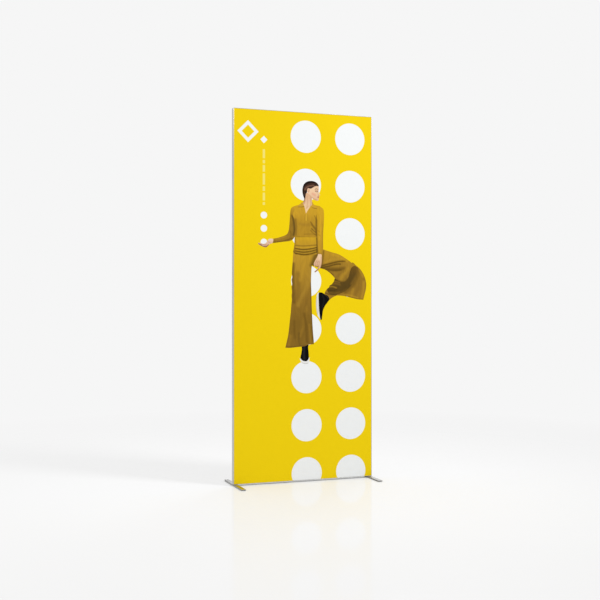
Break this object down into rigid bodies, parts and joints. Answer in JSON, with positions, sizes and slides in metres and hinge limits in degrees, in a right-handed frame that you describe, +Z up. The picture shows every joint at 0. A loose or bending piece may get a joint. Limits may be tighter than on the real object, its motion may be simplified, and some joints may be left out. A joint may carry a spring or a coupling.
{
  "type": "fabric frame banner stand",
  "caption": "Free-standing aluminium frame with a stretched fabric print on its front, an open back with a crossbar, and swivelling flat bar feet.",
  "frame": {"origin": "on the floor under the middle of the frame", "axes": "+X along the frame's width, -Y towards the viewer of the print, +Z up"},
  "size_m": [1, 0.4, 2.5102],
  "materials": {
    "anodised_aluminium": "satin anodised",
    "zinc_steel": "zinc plated",
    "foot_steel": "finely brushed, semi-polished",
    "printed_fabric": "matt warp-knitted polyester, dye-sublimation print",
    "silicone_strip": "translucent silicone",
    "nylon": "natural nylon",
    "rubber": "matt"
  },
  "bodies": {
    "left_foot": {"left_foot_bar": "foot_steel", "left_foot_pad_back": "rubber", "left_foot_pad_front": "rubber"},
    "right_foot": {"right_foot_bar": "foot_steel", "right_foot_pad_back": "rubber", "right_foot_pad_front": "rubber"},
    "left_thumb_screw": {"left_crossbar_thumb_screw": "zinc_steel"},
    "right_thumb_screw": {"right_crossbar_thumb_screw": "zinc_steel"},
    "frame": {"bottom_keder_strip": "silicone_strip", "bottom_left_corner_bracket": "zinc_steel", "bottom_left_rail_grub_screw": "zinc_steel", "bottom_rail": "anodised_aluminium", "bottom_right_corner_bracket": "zinc_steel", "bottom_right_rail_grub_screw": "zinc_steel", "crossbar": "anodised_aluminium", "fabric_print": "printed_fabric", "left_crossbar_seat": "anodised_aluminium", "left_crossbar_seat_screw_1": "zinc_steel", "left_crossbar_seat_screw_2": "zinc_steel", "left_foot_screw": "zinc_steel", "left_foot_washer": "nylon", "left_keder_strip": "silicone_strip", "left_lower_corner_grub_screw": "zinc_steel", "left_lower_splice_grub_screw_1": "zinc_steel", "left_lower_splice_grub_screw_2": "zinc_steel", "left_splice_bar": "zinc_steel", "left_upper_corner_grub_screw": "zinc_steel", "left_upper_splice_grub_screw_1": "zinc_steel", "left_upper_splice_grub_screw_2": "zinc_steel", "left_upright_lower": "anodised_aluminium", "left_upright_upper": "anodised_aluminium", "right_crossbar_seat": "anodised_aluminium", "right_crossbar_seat_screw_1": "zinc_steel", "right_crossbar_seat_screw_2": "zinc_steel", "right_foot_screw": "zinc_steel", "right_foot_washer": "nylon", "right_keder_strip": "silicone_strip", "right_lower_corner_grub_screw": "zinc_steel", "right_lower_splice_grub_screw_1": "zinc_steel", "right_lower_splice_grub_screw_2": "zinc_steel", "right_splice_bar": "zinc_steel", "right_upper_corner_grub_screw": "zinc_steel", "right_upper_splice_grub_screw_1": "zinc_steel", "right_upper_splice_grub_screw_2": "zinc_steel", "right_upright_lower": "anodised_aluminium", "right_upright_upper": "anodised_aluminium", "top_keder_strip": "silicone_strip", "top_left_corner_bracket": "zinc_steel", "top_left_rail_grub_screw": "zinc_steel", "top_rail": "anodised_aluminium", "top_right_corner_bracket": "zinc_steel", "top_right_rail_grub_screw": "zinc_steel"}
  },
  "joints": [
    {"name": "left_foot_swivel", "type": "hinge", "parent": "frame", "child": "left_foot", "pos_m": [-0.485, 0, 0.0053], "axis": [0, 0, 1], "range_deg": [-90, 90]},
    {"name": "right_foot_swivel", "type": "hinge", "parent": "frame", "child": "right_foot", "pos_m": [0.485, 0, 0.0053], "axis": [0, 0, 1], "range_deg": [-90, 90]},
    {"name": "left_thumb_turn", "type": "hinge", "parent": "frame", "child": "left_thumb_screw", "pos_m": [-0.4549, 0, 1.0778], "axis": [0, 0, -1], "range_deg": [0, 720]},
    {"name": "right_thumb_turn", "type": "hinge", "parent": "frame", "child": "right_thumb_screw", "pos_m": [0.4549, 0, 1.0778], "axis": [0, 0, -1], "range_deg": [0, 720]}
  ]
}
